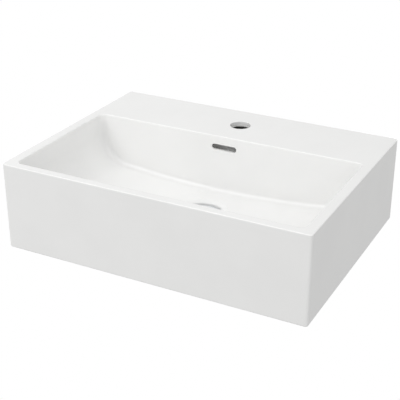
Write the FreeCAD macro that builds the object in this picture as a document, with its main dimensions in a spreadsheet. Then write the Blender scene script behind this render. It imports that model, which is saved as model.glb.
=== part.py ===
"""Rectangular wash basin with its slotted click-clack waste and its pair of wall fixings.

Millimetres, +Z up. The front of the basin faces -Y and the wall is the plane Y = 0. The origin is on the wall,
midway between the two fixing bolts.
"""
import FreeCAD, Part
import os
import re

import Sketcher

Vector = FreeCAD.Vector
Constraint = Sketcher.Constraint

# Driving dimensions: alias, value and what it measures. Lengths in mm, angles in degrees.
SIZES = [
    # basin, outside
    ("basin_width", 515, "left to right"),
    ("basin_depth", 385, "wall to front face"),
    ("basin_height", 145, "base to rim"),
    ("rim_above_fixings", 60, "rim down to the fixing bolts"),
    ("corner_radius", 5, "upright outer corners"),
    ("top_edge_radius", 1.6, "outer edge of the rim"),
    ("base_edge_radius", 2, "outer edge of the base"),
    # bowl
    ("side_rim_width", 17, "rim at the left and right"),
    ("front_rim_width", 15, "rim at the front"),
    ("deck_depth", 125.5, "wall to the bowl's back edge"),
    ("bowl_depth", 99.7, "rim down to the floor at the waste"),
    ("side_draft", 3, "side walls lean in"),
    ("end_draft", 5.3, "front and back walls lean in"),
    ("bowl_rim_radius", 2, "inner edge of the rim"),
    ("bowl_side_radius", 55, "side walls into floor"),
    ("bowl_end_radius", 11, "front and back walls into floor and sides"),
    ("floor_radius_across", 1650, "floor's sweep, left to right"),
    ("floor_radius_along", 900, "floor's sweep, front to back"),
    # ceramic thickness
    ("shell_thickness", 10, "bowl shell"),
    ("wall_thickness", 10, "outer walls"),
    ("deck_thickness", 9, "deck behind the bowl"),
    ("hollow_corner_radius", 8, "upright corners inside the skirt"),
    # tap hole and overflow
    ("tap_hole_diameter", 35, "standard single tap hole"),
    ("tap_hole_from_wall", 64, "wall to tap hole"),
    ("tap_hole_edge_radius", 0.8, "glazed edge"),
    ("overflow_length", 45, "slot, end to end"),
    ("overflow_height", 9.5, "slot"),
    ("overflow_below_rim", 19.3, "rim to the slot's middle"),
    ("overflow_lip", 3, "thinned wall that the slot is cut through"),
    ("overflow_pocket_margin", 2, "pocket behind the lip, above and below the slot"),
    ("channel_margin", 5.5, "overflow channel past each end of the slot"),
    ("channel_depth", 12, "overflow channel, inside"),
    ("channel_wall", 8, "ceramic around the channel"),
    ("throat_width", 36, "channel under the floor, inside"),
    ("throat_height", 12, "channel under the floor, inside"),
    ("throat_above_boss", 7, "boss's end up to the channel"),
    # waste seat
    ("waste_from_wall", 207, "wall to waste"),
    ("waste_hole_gap", 2, "hole through the boss, around the tail"),
    ("recess_gap", 2, "recess around the flange"),
    ("recess_edge_radius", 2.5, "glazed edge of the recess"),
    ("seat_below_rim", 112, "rim to the flange's seat"),
    ("dish_drop", 7, "how far the dish sinks below the floor"),
    ("dish_radius", 120, "curvature of the dish around the waste"),
    ("dish_reach", 60, "most that the dish spreads"),
    ("boss_length", 27, "seat to the boss's end"),
    ("boss_root_wall", 14, "boss around the recess"),
    ("boss_end_wall", 12, "boss around the hole, at its end"),
    # waste body
    ("flange_diameter", 64, "flange"),
    ("flange_thickness", 5.5, "flange"),
    ("flange_edge_radius", 1, "flange's upper edge"),
    ("tail_diameter", 41.91, "G 1 1/4 thread, outside"),
    ("tail_wall", 3, "tail"),
    ("shank_step", 1.5, "thicker shank under the flange"),
    ("tail_length", 87.5, "flange's top to the tail's end"),
    ("free_tail", 33, "tail below the thread's run-out, for the trap's nut"),
    ("run_out_width", 1.5, "groove where the thread runs out"),
    ("run_out_depth", 0.7, "groove where the thread runs out"),
    ("mouth_depth", 7, "45 degree mouth above the tail's bore"),
    ("port_width", 13, "overflow ports in the tail"),
    ("spider_drop", 50, "flange's top to the spider's top"),
    ("spider_height", 8, "spider arms"),
    ("spider_arm_width", 3.2, "spider arms"),
    ("spider_hub_wall", 2.5, "spider hub around the stud"),
    ("fit_gap", 0.05, "radial gap of threads and running fits"),
    ("gasket_thickness", 1.5, "under the flange"),
    ("gasket_inset", 1, "gasket inside the flange's edge"),
    # click mechanism and plug
    ("stud_diameter", 8, "M8 stud"),
    ("stud_length", 24, "M8 stud"),
    ("stud_in_guide", 6, "stud screwed into the guide"),
    ("stud_chamfer", 0.8, "stud's ends"),
    ("lock_nut_flats", 13, "M8 nut, across flats"),
    ("lock_nut_height", 4, "thin M8 nut"),
    ("guide_bore", 12.4, "guide, inside"),
    ("guide_wall", 2.3, "guide"),
    ("guide_length", 36, "guide"),
    ("guide_chamfer", 1, "guide's upper outer edge"),
    ("guide_drop", 0.5, "closed plug's hub to the guide"),
    ("stroke", 8, "how far the plug lifts"),
    ("stem_length", 17, "stem below the plug's hub"),
    ("stem_pin_diameter", 4, "pin that carries the rotor"),
    ("stem_pin_end", 1, "pin past the rotor"),
    ("rotor_height", 4, "click rotor"),
    ("rotor_lug", 1, "lugs around the rotor"),
    ("rotor_lug_height", 3, "lugs around the rotor"),
    ("rotor_lug_root", 0.5, "lugs let into the ring"),
    ("rotor_clearance", 0.4, "lugs to the guide's bore"),
    ("end_gap", 0.2, "rotor under the stem, thread ends short of their holes"),
    ("spring_wire", 1.1, "wire diameter"),
    ("spring_gap", 1.45, "coil to the guide's bore"),
    ("spring_turns", 4, "coils"),
    ("spring_end_gap", 0.1, "spring to the guide's floor and to the rotor"),
    ("plug_inset", 3.5, "mouth's edge to the plug's rim"),
    ("plug_thickness", 3, "plug's disc at its rim"),
    ("plug_edge_bevel", 1, "plug's lower edge"),
    ("plug_crown", 1.6, "rise of the plug's crown"),
    ("plug_proud", 0.6, "plug's rim above the flange"),
    ("plug_hub_wall", 4, "hub around the stem's spigot"),
    ("plug_hub_length", 6, "hub under the disc"),
    ("plug_seal_radius", 1.7, "half the seal's section"),
    ("plug_seal_gap", 0.3, "closed seal to the mouth"),
    ("spigot_diameter", 8, "stem's thread in the hub"),
    ("spigot_length", 4.5, "stem's thread in the hub"),
    # under the basin
    ("lower_seal_bearing", 7, "tapered seal on the boss, past the hole"),
    ("lower_seal_thickness", 8, "tapered seal below the boss"),
    ("lower_seal_plug", 3, "tapered seal inside the hole"),
    ("slip_washer_thickness", 1.5, "slip washer"),
    ("back_nut_flats", 52, "back nut, across flats"),
    ("back_nut_height", 9, "back nut"),
    # wall fixings
    ("fixing_spacing", 280, "bolt to bolt"),
    ("fixing_hole_diameter", 18, "hole in the back wall"),
    ("bolt_diameter", 10, "M10 hanger bolt"),
    ("bolt_reach", 45, "bolt in front of the wall"),
    ("bolt_thread_in_wall", 8, "machine thread behind the wall's face"),
    ("bolt_chamfer", 1, "bolt's front end"),
    ("wood_screw_diameter", 8, "bolt's screw end"),
    ("wood_screw_length", 60, "bolt's screw end"),
    ("wall_plug_diameter", 14, "nylon wall plug"),
    ("wall_plug_length", 70, "nylon wall plug"),
    ("wall_plug_bevel", 1, "bevel at the plug's mouth"),
    ("wall_plug_shoulder", 0.5, "bolt's shoulder to the plug's narrower bore"),
    ("wall_plug_slit", 1.6, "slit that lets the plug spread"),
    ("bush_sleeve_gap", 0.2, "bush to the ceramic hole"),
    ("bush_sleeve_short", 1, "bush's sleeve short of the wall"),
    ("bush_flange_diameter", 32, "nylon bush"),
    ("bush_flange_thickness", 4, "nylon bush"),
    ("fixing_washer_diameter", 30, "steel washer"),
    ("fixing_washer_thickness", 2.5, "steel washer"),
    ("fixing_nut_flats", 17, "M10 nut, across flats"),
    ("fixing_nut_height", 8, "M10 nut"),
    ("bolt_gap", 0.2, "bush and washer to the bolt"),
]

# Heights and places that several pieces share, as expressions in the sheet's aliases.
RIM = "rim_above_fixings"
BASE = f"({RIM} - basin_height)"
FLOOR = f"({RIM} - bowl_depth)"
SEAT = f"({RIM} - seat_below_rim)"
BOSS_END = f"({SEAT} - boss_length)"
FLANGE_TOP = f"({SEAT} + gasket_thickness + flange_thickness)"
THROAT_FLOOR = f"({BOSS_END} + throat_above_boss)"
BOWL_HALF_WIDTH = "(basin_width / 2 - side_rim_width)"
BOWL_FRONT = "(front_rim_width - basin_depth)"
BOWL_BACK = "(-deck_depth)"
TAIL_RADIUS = "(tail_diameter / 2)"
TAIL_BORE = f"({TAIL_RADIUS} - tail_wall)"
MOUTH_RADIUS = f"({TAIL_BORE} + mouth_depth)"
WASTE_HOLE = f"({TAIL_RADIUS} + waste_hole_gap)"
RECESS = "(flange_diameter / 2 + recess_gap)"
LOWER_SEAL = f"({WASTE_HOLE} + lower_seal_bearing)"
PLUG_RADIUS = f"({MOUTH_RADIUS} - plug_inset)"
CHANNEL_WIDTH = "(overflow_length + 2 * channel_margin)"
PLUG_UNDER = "(plug_proud - plug_thickness)"
HUB_END = f"({PLUG_UNDER} - plug_hub_length)"
GUIDE_TOP = f"({HUB_END} - guide_drop)"
GUIDE_FLOOR = f"({GUIDE_TOP} - guide_length + stud_in_guide)"
STEM_END = f"({HUB_END} - stem_length)"
ROTOR_TOP = f"({STEM_END} - end_gap)"
ABOVE_RIM = 25  # how far the bowl's cutting shapes run past the rim
PAST = 1  # how far a cutting shape runs past the face that it opens

document = FreeCAD.newDocument("WashBasin")
sheet = document.addObject("Spreadsheet::Sheet", "Sizes")
for row, (alias, value, note) in enumerate(SIZES, start=1):
    sheet.set(f"A{row}", alias)
    sheet.set(f"B{row}", str(value))
    sheet.setAlias(f"B{row}", alias)
    sheet.set(f"C{row}", note)
document.recompute()

ALIASES = {alias for alias, value, note in SIZES}


def bound(text):
    """The expression with each alias named through the sheet."""
    return re.sub(r"[a-z_]+", lambda word: f"Sizes.{word[0]}" if word[0] in ALIASES else word[0], str(text))


def number(text):
    """The expression's present value."""
    return float(sheet.evalExpression(bound(text)))


def bind(obj, **expressions):
    """Bind properties to expressions; Base_x, Base_y and Base_z are the placement's."""
    for name, text in expressions.items():
        path = f"Placement.{name.replace('_', '.')}" if name.startswith("Base_") else name
        obj.setExpression(path, bound(text))


def new_body(label):
    body = document.addObject("PartDesign::Body", label)
    body.Label = label
    return body


def origin_plane(body, role):
    return next(feature for feature in body.Origin.OriginFeatures if feature.Role == role)


def new_sketch(body, name, role="XZ_Plane", level=None):
    """A sketch on one of the body's own origin planes, raised by `level` along the plane's normal."""
    sketch = body.newObject("Sketcher::SketchObject", name)
    sketch.AttachmentSupport = [(origin_plane(body, role), "")]
    sketch.MapMode = "FlatFace"
    if level is not None:
        sketch.setExpression("AttachmentOffset.Base.z", bound(level))
    return sketch


def pin_point(sketch, geometry, end, place):
    """Fix one end of a sketch's line or arc at a place given as two expressions."""
    for kind, text in zip(("DistanceX", "DistanceY"), place):
        index = sketch.addConstraint(Constraint(kind, -1, 1, geometry, end, number(text)))
        sketch.setExpression(f"Constraints[{index}]", bound(text))


def add_outline(sketch, places, crown=None):
    """A closed outline through the places, each an (x, y) pair of expressions.

    With a crown's radius the first side is an arc that is level at its end.
    """
    spots = [Vector(number(x), number(y), 0) for x, y in places]
    count = len(spots)
    for i in range(count):
        start, end = spots[i], spots[(i + 1) % count]
        if crown and i == 0:
            centre = end - Vector(0, number(crown), 0)
            halfway = (start + end) / 2 - centre
            middle = centre + halfway * (number(crown) / halfway.Length)
            sketch.addGeometry(Part.Arc(start, middle, end), False)
        else:
            sketch.addGeometry(Part.LineSegment(start, end), False)
    for i in range(count):
        sketch.addConstraint(Constraint("Coincident", i, 2, (i + 1) % count, 1))
        pin_point(sketch, i, 1, places[i])
    if crown:
        index = sketch.addConstraint(Constraint("Radius", 0, number(crown)))
        sketch.setExpression(f"Constraints[{index}]", bound(crown))


def add_rectangle(sketch, low, high):
    add_outline(sketch, [low, (high[0], low[1]), high, (low[0], high[1])])


def add_circle(sketch, radius, centre=("0", "0")):
    """A circle with its centre pinned and its radius bound."""
    spot = Vector(number(centre[0]), number(centre[1]), 0)
    circle = sketch.addGeometry(Part.Circle(spot, Vector(0, 0, 1), number(radius)), False)
    pin_point(sketch, circle, 3, centre)
    index = sketch.addConstraint(Constraint("Radius", circle, number(radius)))
    sketch.setExpression(f"Constraints[{index}]", bound(radius))


def add_slot(sketch, length, height, centre):
    """A slot with round ends, its long side along the sketch's X."""
    x, y = centre
    half = f"({height}) / 2"
    run = f"(({length}) - ({height})) / 2"
    left, right = f"{x} - {run}", f"{x} + {run}"
    low, high = f"{y} - {half}", f"{y} + {half}"
    spot = {key: number(text) for key, text in dict(l=left, r=right, b=low, t=high, y=y, h=half).items()}
    bottom = sketch.addGeometry(
        Part.LineSegment(Vector(spot["l"], spot["b"], 0), Vector(spot["r"], spot["b"], 0)), False)
    east = sketch.addGeometry(
        Part.Arc(Vector(spot["r"], spot["b"], 0), Vector(spot["r"] + spot["h"], spot["y"], 0),
                 Vector(spot["r"], spot["t"], 0)), False)
    top = sketch.addGeometry(
        Part.LineSegment(Vector(spot["r"], spot["t"], 0), Vector(spot["l"], spot["t"], 0)), False)
    west = sketch.addGeometry(
        Part.Arc(Vector(spot["l"], spot["t"], 0), Vector(spot["l"] - spot["h"], spot["y"], 0),
                 Vector(spot["l"], spot["b"], 0)), False)
    for line, first, last in ((bottom, west, east), (top, east, west)):
        sketch.addConstraint(Constraint("Tangent", line, 1, first, 2))
        sketch.addConstraint(Constraint("Tangent", line, 2, last, 1))
    pin_point(sketch, bottom, 1, (left, low))
    pin_point(sketch, top, 1, (right, high))


def pad(body, sketch, name, length, midplane=False, downward=False):
    feature = body.newObject("PartDesign::Pad", name)
    feature.Profile = (sketch, [""])
    feature.Midplane = midplane
    feature.Reversed = downward
    bind(feature, Length=length)
    document.recompute()
    return feature


def pocket(body, sketch, name, length=None, midplane=False, flipped=False):
    """Cut the sketch out of the body, right through unless a length is given, and check that it cut."""
    before = body.Shape.Volume
    feature = body.newObject("PartDesign::Pocket", name)
    feature.Profile = (sketch, [""])
    feature.Midplane = midplane
    feature.Reversed = flipped
    if length is None:
        feature.Type = "ThroughAll"
    else:
        bind(feature, Length=length)
    document.recompute()
    if body.Shape.Volume > before - 1e-3:
        raise RuntimeError(f"{name} cuts nothing from {body.Label}")
    return feature


def turn(body, sketch, name, kind="Revolution"):
    """Turn a sketch about the body's Z axis, as a solid or as a groove."""
    feature = body.newObject(f"PartDesign::{kind}", name)
    feature.Profile = (sketch, [""])
    feature.ReferenceAxis = (sketch, ["V_Axis"])
    feature.Angle = 360
    document.recompute()
    return feature


def revolve(body, name, places, crown=None):
    """Turn a closed outline of (radius, height) places about the body's Z axis."""
    sketch = new_sketch(body, f"{name}_profile")
    add_outline(sketch, places, crown)
    return turn(body, sketch, name)


def around_z(body, feature, name, count):
    """Repeat a feature evenly about the body's Z axis."""
    pattern = body.newObject("PartDesign::PolarPattern", name)
    pattern.Originals = [feature]
    pattern.Axis = (next(axis for axis in body.Origin.OriginFeatures if axis.Role == "Z_Axis"), [""])
    pattern.Angle = 360
    pattern.Occurrences = count
    body.Tip = pattern
    document.recompute()
    return pattern


def edge_names(shape, wanted):
    """Names of the shape's edges that pass the test."""
    return [f"Edge{i}" for i, edge in enumerate(shape.Edges, start=1) if wanted(edge)]


def dress(body, kind, name, size, wanted):
    """Fillet or chamfer the edges of the body's present shape that pass the test."""
    base = body.Tip
    edges = edge_names(base.Shape, wanted)
    if not edges:
        raise RuntimeError(f"{name} finds no edge on {body.Label}")
    feature = body.newObject(f"PartDesign::{kind}", name)
    feature.Base = (base, edges)
    bind(feature, **({"Radius": size} if kind == "Fillet" else {"Size": size}))
    document.recompute()
    return feature


def is_circle(edge, radius, height=None):
    """Whether the edge is a circle of that radius, at that height if one is given."""
    curve = edge.Curve
    if curve.TypeId != "Part::GeomCircle" or abs(curve.Radius - number(radius)) > 1e-3:
        return False
    return height is None or abs(curve.Center.z - number(height)) < 1e-3


def spans(edge, axis, low, high=None):
    """Whether the edge lies between two values of an axis, or at one value."""
    box = edge.BoundBox
    least, most = getattr(box, f"{axis}Min"), getattr(box, f"{axis}Max")
    first = number(low)
    last = first if high is None else number(high)
    return least > first - 1e-3 and most < last + 1e-3


def ring(label, inner, outer, height):
    """A plain ring standing on its own origin."""
    body = new_body(label)
    revolve(body, f"{label}_turned", [(inner, "0"), (outer, "0"), (outer, height), (inner, height)])
    return body


def hex_nut(label, flats, height, bore):
    """A hexagon nut standing on its own origin, with its corners turned off at 30 degrees."""
    body = new_body(label)
    sketch = new_sketch(body, f"{label}_hexagon", "XY_Plane")
    corner = f"{flats} / sqrt(3)"
    half = f"{corner} / 2"
    side = f"{flats} / 2"
    add_outline(sketch, [(corner, "0"), (half, side), (f"-({half})", side),
                         (f"-({corner})", "0"), (f"-({half})", f"-({side})"), (half, f"-({side})")])
    pad(body, sketch, f"{label}_blank", height)
    hole = new_sketch(body, f"{label}_hole", "XY_Plane")
    add_circle(hole, bore)
    pocket(body, hole, f"{label}_bore", midplane=True)
    # The turned-off corner runs from the flats' circle out past the corners, at both ends.
    reach = f"({corner} + {PAST})"
    fall = f"(({reach}) - ({side})) / sqrt(3)"
    for end, level, step in (("lower", "0", "+"), ("upper", height, "-")):
        before = body.Shape.Volume
        profile = new_sketch(body, f"{label}_{end}_corner")
        add_outline(profile, [(side, level), (reach, level), (reach, f"{level} {step} ({fall})")])
        turn(body, profile, f"{label}_{end}_turned", "Groove")
        if body.Shape.Volume > before - 1e-3:
            raise RuntimeError(f"{label} keeps its {end} corners")
    return body


def on_waste_axis(body, height):
    """Stand a piece on the waste's axis with its own origin at that height."""
    bind(body, Base_y="-waste_from_wall", Base_z=height)


def on_fixing(body, side, out):
    """Turn a piece to point out of the wall (-Y) at one of the fixings, its origin `out` from the wall."""
    body.Placement = FreeCAD.Placement(Vector(0, 0, 0), FreeCAD.Rotation(Vector(1, 0, 0), 90))
    bind(body, Base_x=f"{side} * fixing_spacing / 2", Base_y=f"-({out})")


# ---------------------------------------------------------------- basin

def bowl_core(name, grow):
    """The bowl's inside as a solid that runs past the rim, grown outwards by `grow` on every wall.

    A drafted wedge gives the four walls and a doubly swept barrel gives the floor; their edges are then rounded.
    """
    rise = f"(bowl_depth + {ABOVE_RIM})"
    top = f"({RIM} + {ABOVE_RIM})"
    low = f"({FLOOR} - shell_thickness)"
    height = f"({top} - {low})"
    side_lean = "tan(side_draft * 1 deg)"
    end_lean = "tan(end_draft * 1 deg)"
    below_rim = f"({RIM} - {low})"

    walls = document.addObject("Part::Wedge", f"{name}_walls")
    # The wedge's own Y is the height, and its own Z points to the front.
    walls.Placement.Rotation = FreeCAD.Rotation(Vector(1, 0, 0), 90)
    bind(walls, Base_z=low)
    half_top = f"({BOWL_HALF_WIDTH} + {grow} + {ABOVE_RIM} * {side_lean})"
    half_low = f"({BOWL_HALF_WIDTH} + {grow} - {below_rim} * {side_lean})"
    front_top = f"(-{BOWL_FRONT} + {grow} + {ABOVE_RIM} * {end_lean})"
    front_low = f"(-{BOWL_FRONT} + {grow} - {below_rim} * {end_lean})"
    back_top = f"(-{BOWL_BACK} - {grow} - {ABOVE_RIM} * {end_lean})"
    back_low = f"(-{BOWL_BACK} - {grow} + {below_rim} * {end_lean})"
    # Large limits first, so that the wedge stays valid while its sizes are bound one by one.
    walls.Xmin, walls.Ymin, walls.Zmin, walls.X2min, walls.Z2min = -900, -900, -900, -900, -900
    walls.Xmax, walls.Ymax, walls.Zmax, walls.X2max, walls.Z2max = 900, 900, 900, 900, 900
    bind(walls, Xmin=f"-{half_low}", Xmax=half_low, X2min=f"-{half_top}", X2max=half_top,
         Ymin="0", Ymax=height, Zmin=back_low, Zmax=front_low, Z2min=back_top, Z2max=front_top)

    floor = new_body(f"{name}_floor")
    sketch = new_sketch(floor, f"{name}_floor_profile")
    reach = f"({BOWL_HALF_WIDTH} + {grow} + 2 * {ABOVE_RIM})"
    across = f"(floor_radius_across + {grow})"
    bottom = f"(0 - {grow})"
    shoulder = f"({bottom} + {across} - sqrt({across} ^ 2 - {reach} ^ 2))"
    left, right = Vector(-number(reach), number(shoulder), 0), Vector(number(reach), number(shoulder), 0)
    upper_right, upper_left = Vector(right.x, number(rise), 0), Vector(left.x, number(rise), 0)
    arc = sketch.addGeometry(Part.Arc(left, Vector(0, number(bottom), 0), right), False)
    for start, end in ((right, upper_right), (upper_right, upper_left), (upper_left, left)):
        sketch.addGeometry(Part.LineSegment(start, end), False)
    for i in range(4):
        sketch.addConstraint(Constraint("Coincident", i, 2, (i + 1) % 4, 1))
    for geometry, place in ((0, (f"-{reach}", shoulder)), (1, (reach, shoulder)),
                            (2, (reach, rise)), (3, (f"-{reach}", rise))):
        pin_point(sketch, geometry, 1, place)
    index = sketch.addConstraint(Constraint("Radius", arc, number(across)))
    sketch.setExpression(f"Constraints[{index}]", bound(across))
    axis = sketch.addGeometry(Part.LineSegment(Vector(0, number("floor_radius_along"), 0),
                                               Vector(50, number("floor_radius_along"), 0)), True)
    sketch.addConstraint(Constraint("Horizontal", axis))
    pin_point(sketch, axis, 1, ("0", "floor_radius_along"))
    barrel = floor.newObject("PartDesign::Revolution", f"{name}_barrel")
    barrel.Profile = (sketch, [""])
    barrel.ReferenceAxis = (sketch, ["Axis0"])
    barrel.Angle = 60
    barrel.Midplane = True
    on_waste_axis(floor, FLOOR)

    sharp = document.addObject("Part::MultiCommon", f"{name}_sharp")
    sharp.Shapes = [walls, floor]
    document.recompute()
    core = new_body(name)
    core.BaseFeature = sharp
    document.recompute()
    return core


def round_bowl(core, side_radius, end_radius):
    """Round the bowl's side walls into its floor, then its front and back walls into everything."""
    floor_top = f"({RIM} - bowl_depth / 4)"

    def runs_along(edge):
        box = edge.BoundBox
        return box.YLength > 0.5 * number("basin_depth - deck_depth") and box.ZMax < number(floor_top)

    def on_end_wall(edge):
        box = edge.BoundBox
        crosses_rim = box.ZMin > number(RIM)
        return not crosses_rim and box.YLength < 0.25 * number("basin_depth - deck_depth")

    dress(core, "Fillet", f"{core.Label}_sides", side_radius, runs_along)
    dress(core, "Fillet", f"{core.Label}_ends", end_radius, on_end_wall)


def build_basin():
    """The glazed casting: a block with the bowl sunk in it and hollowed from below around the bowl's shell."""
    block = new_body("basin_block")
    outline = new_sketch(block, "basin_outline", "XY_Plane", BASE)
    add_rectangle(outline, ("-basin_width / 2", "-basin_depth"), ("basin_width / 2", "0"))
    pad(block, outline, "basin_blank", "basin_height")
    dress(block, "Fillet", "basin_corners", "corner_radius", lambda edge: edge.BoundBox.ZLength > 1)
    dress(block, "Fillet", "basin_top_edge", "top_edge_radius", lambda edge: spans(edge, "Z", RIM))
    dress(block, "Fillet", "basin_base_edge", "base_edge_radius", lambda edge: spans(edge, "Z", BASE))

    bowl = bowl_core("bowl", "0")
    round_bowl(bowl, "bowl_side_radius", "bowl_end_radius")
    shell = bowl_core("bowl_shell", "shell_thickness")
    round_bowl(shell, "bowl_side_radius + shell_thickness", "bowl_end_radius + shell_thickness")

    def slab(name, low, high):
        """A plain block between two corners."""
        box = document.addObject("Part::Box", name)
        bind(box, Length=f"({high[0]}) - ({low[0]})", Width=f"({high[1]}) - ({low[1]})",
             Height=f"({high[2]}) - ({low[2]})", Base_x=low[0], Base_y=low[1], Base_z=low[2])
        return box

    def rod(name, radius, low, high, y="-waste_from_wall"):
        """An upright cylinder between two heights."""
        cylinder = document.addObject("Part::Cylinder", name)
        bind(cylinder, Radius=radius, Height=f"({high}) - ({low})", Base_y=y, Base_z=low)
        return cylinder

    # Ceramic kept inside the hollow: the shell, the waste boss and the overflow channel's two legs.
    boss = document.addObject("Part::Cone", "waste_boss")
    bind(boss, Radius1=f"{WASTE_HOLE} + boss_end_wall", Radius2=f"{RECESS} + boss_root_wall",
         Height="boss_length", Base_y="-waste_from_wall", Base_z=BOSS_END)
    channel_front = f"({BOWL_BACK} + channel_wall)"
    channel_back = f"({channel_front} + channel_depth)"
    deck_under = f"({RIM} - deck_thickness)"
    down_leg = slab("channel_casing", (f"-({CHANNEL_WIDTH} / 2 + channel_wall)", BOWL_BACK, BOSS_END),
                    (f"{CHANNEL_WIDTH} / 2 + channel_wall", f"{channel_back} + channel_wall", deck_under))
    under_leg = slab("throat_casing", ("-(throat_width / 2 + channel_wall)", "-waste_from_wall", BOSS_END),
                     ("throat_width / 2 + channel_wall", BOWL_BACK, f"{SEAT} + throat_above_boss / 2"))
    skirt = new_body("skirt_hollow")
    inside = new_sketch(skirt, "skirt_outline", "XY_Plane", f"{BASE} - {PAST}")
    add_rectangle(inside, ("-(basin_width / 2 - wall_thickness)", "-(basin_depth - wall_thickness)"),
                  ("basin_width / 2 - wall_thickness", "-wall_thickness"))
    pad(skirt, inside, "skirt_blank", f"basin_height - deck_thickness + {PAST}")
    dress(skirt, "Fillet", "skirt_corners", "hollow_corner_radius", lambda edge: edge.BoundBox.ZLength > 1)
    kept = document.addObject("Part::MultiFuse", "kept_ceramic")
    kept.Shapes = [shell, boss, down_leg, under_leg]
    hollow = document.addObject("Part::Cut", "underside_hollow")
    hollow.Base, hollow.Tool = skirt, kept

    # Openings: bowl, dish, recess, waste hole, overflow channel and slot, tap hole, fixing holes.
    ball = document.addObject("Part::Sphere", "dish_ball")
    bind(ball, Radius="dish_radius", Base_y="-waste_from_wall", Base_z=f"{FLOOR} - dish_drop + dish_radius")
    reach = rod("dish_reach_limit", "dish_reach", f"{FLOOR} - dish_drop - {PAST}", f"{FLOOR} + bowl_depth / 2")
    dish = document.addObject("Part::Common", "waste_dish")
    dish.Base, dish.Tool = ball, reach
    recess = rod("flange_recess", RECESS, SEAT, f"{FLOOR} + bowl_depth / 4")
    waste_hole = rod("waste_hole", WASTE_HOLE, f"{BOSS_END} - {PAST}", f"{SEAT} + {PAST}")
    drop = slab("channel_drop", (f"-{CHANNEL_WIDTH} / 2", channel_front, THROAT_FLOOR),
                (f"{CHANNEL_WIDTH} / 2", channel_back, deck_under))
    throat = slab("channel_throat", ("-throat_width / 2", "-waste_from_wall", THROAT_FLOOR),
                  ("throat_width / 2", f"{channel_front} + {PAST}", f"{THROAT_FLOOR} + throat_height"))
    slot_level = f"({RIM} - overflow_below_rim)"
    slot = new_body("overflow_slot")
    slot_outline = new_sketch(slot, "slot_outline", "XZ_Plane", f"-({BOWL_BACK}) - channel_wall - {PAST}")
    add_slot(slot_outline, "overflow_length", "overflow_height", ("0", slot_level))
    pad(slot, slot_outline, "slot_blank", f"channel_wall + {PAST} + bowl_depth / 2")
    # The lip is measured from the leaning wall at the slot's own level.
    lip_back = f"({BOWL_BACK} - overflow_below_rim * tan(end_draft * 1 deg) + overflow_lip)"
    half_pocket = "(overflow_height / 2 + overflow_pocket_margin)"
    slot_pocket = slab("overflow_pocket", (f"-{CHANNEL_WIDTH} / 2", lip_back, f"{slot_level} - {half_pocket}"),
                       (f"{CHANNEL_WIDTH} / 2", f"{channel_front} + {PAST}", f"{slot_level} + {half_pocket}"))
    tap_hole = rod("tap_hole", "tap_hole_diameter / 2", f"{deck_under} - {PAST}", f"{RIM} + {PAST}",
                   "-tap_hole_from_wall")
    fixing_holes = []
    for side, word in ((-1, "left"), (1, "right")):
        hole = document.addObject("Part::Cylinder", f"fixing_hole_{word}")
        hole.Placement.Rotation = FreeCAD.Rotation(Vector(1, 0, 0), 90)
        bind(hole, Radius="fixing_hole_diameter / 2", Height=f"wall_thickness + 2 * {PAST}",
             Base_x=f"{side} * fixing_spacing / 2", Base_y=str(PAST))
        fixing_holes.append(hole)

    openings = document.addObject("Part::MultiFuse", "openings")
    openings.Shapes = [hollow, bowl, dish, recess, waste_hole, drop, throat, slot, slot_pocket, tap_hole,
                       *fixing_holes]
    casting = document.addObject("Part::Cut", "rough_casting")
    casting.Base, casting.Tool = block, openings
    document.recompute()

    basin = new_body("basin")
    basin.BaseFeature = casting
    document.recompute()

    def on_bowl_rim(edge):
        box = edge.BoundBox
        inside_x = max(abs(box.XMin), abs(box.XMax)) < number(BOWL_HALF_WIDTH) + 1
        inside_y = box.YMin > number(BOWL_FRONT) - 1 and box.YMax < number(BOWL_BACK) + 1
        return spans(edge, "Z", RIM) and inside_x and inside_y

    dress(basin, "Fillet", "bowl_rim", "bowl_rim_radius", on_bowl_rim)
    dress(basin, "Fillet", "tap_hole_rim", "tap_hole_edge_radius",
          lambda edge: is_circle(edge, "tap_hole_diameter / 2", RIM))
    dress(basin, "Fillet", "recess_rim", "recess_edge_radius",
          lambda edge: is_circle(edge, RECESS) and edge.Curve.Center.z > number(f"{SEAT} + 1"))
    return basin


# ---------------------------------------------------------------- waste

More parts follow.
